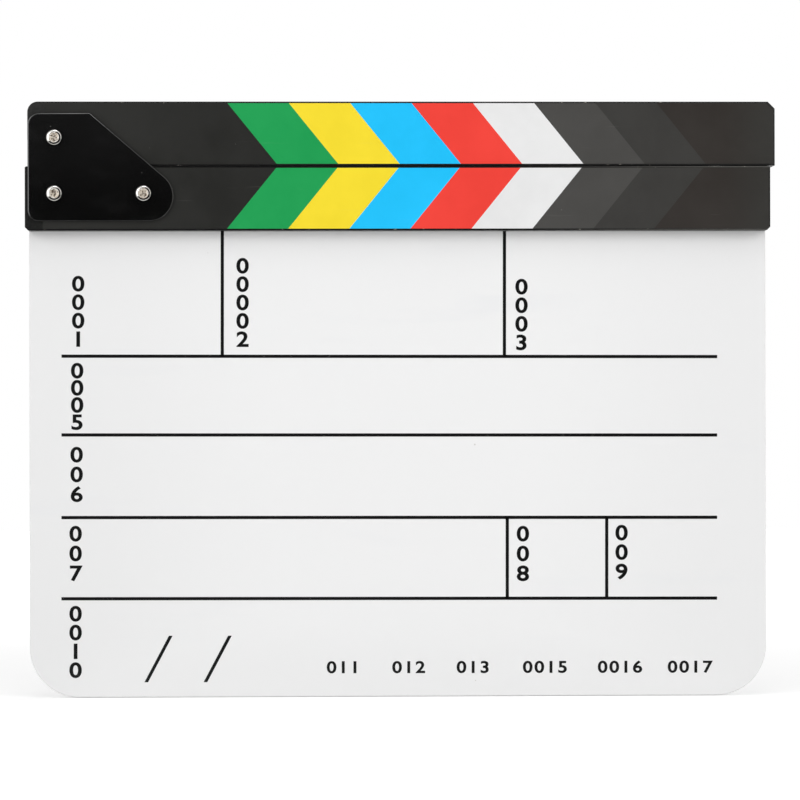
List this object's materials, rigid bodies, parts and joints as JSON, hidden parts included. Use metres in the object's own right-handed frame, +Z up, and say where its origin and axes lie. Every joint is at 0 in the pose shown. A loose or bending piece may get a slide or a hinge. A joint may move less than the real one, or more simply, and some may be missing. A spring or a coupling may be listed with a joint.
{
  "type": "clapperboard",
  "caption": "Hand-held film clapperboard: a white dry-wipe slate held in a grooved stick, with a colour-striped stick hinged above it that swings up and claps shut.",
  "frame": {"origin": "middle of the slate's straight bottom edge, at mid thickness", "axes": "+X to the right as the slate is read, +Y away from the reader, through the slate's thickness, +Z up from the slate to the sticks"},
  "size_m": [0.3015, 0.0214, 0.2394],
  "materials": {
    "white_acrylic": "satin white dry-wipe sheet",
    "black_wood": "matt black paint",
    "printed_film": "matt print in colour bands",
    "black_plate": "gloss black coating",
    "bright_screw": "bright nickel plate",
    "plated_magnet": "nickel plate",
    "nylon": "natural nylon"
  },
  "bodies": {
    "slate": {"slate_board": "white_acrylic", "lower_stick": "black_wood", "lower_stick_film": "printed_film", "lower_magnet": "plated_magnet", "front_hinge_plate": "black_plate", "rear_hinge_plate": "black_plate", "front_pivot_washer": "nylon", "rear_pivot_washer": "nylon", "pivot_screw": "bright_screw", "pivot_barrel_nut": "bright_screw", "heel_screw": "bright_screw", "heel_barrel_nut": "bright_screw", "nose_screw": "bright_screw", "nose_barrel_nut": "bright_screw"},
    "clapper": {"upper_stick": "black_wood", "upper_stick_film": "printed_film", "upper_magnet": "plated_magnet"}
  },
  "joints": [
    {"name": "clap_hinge", "type": "hinge", "parent": "slate", "child": "clapper", "pos_m": [-0.13793, 0, 0.2248], "axis": [0, -1, 0], "range_deg": [0, 90]}
  ]
}
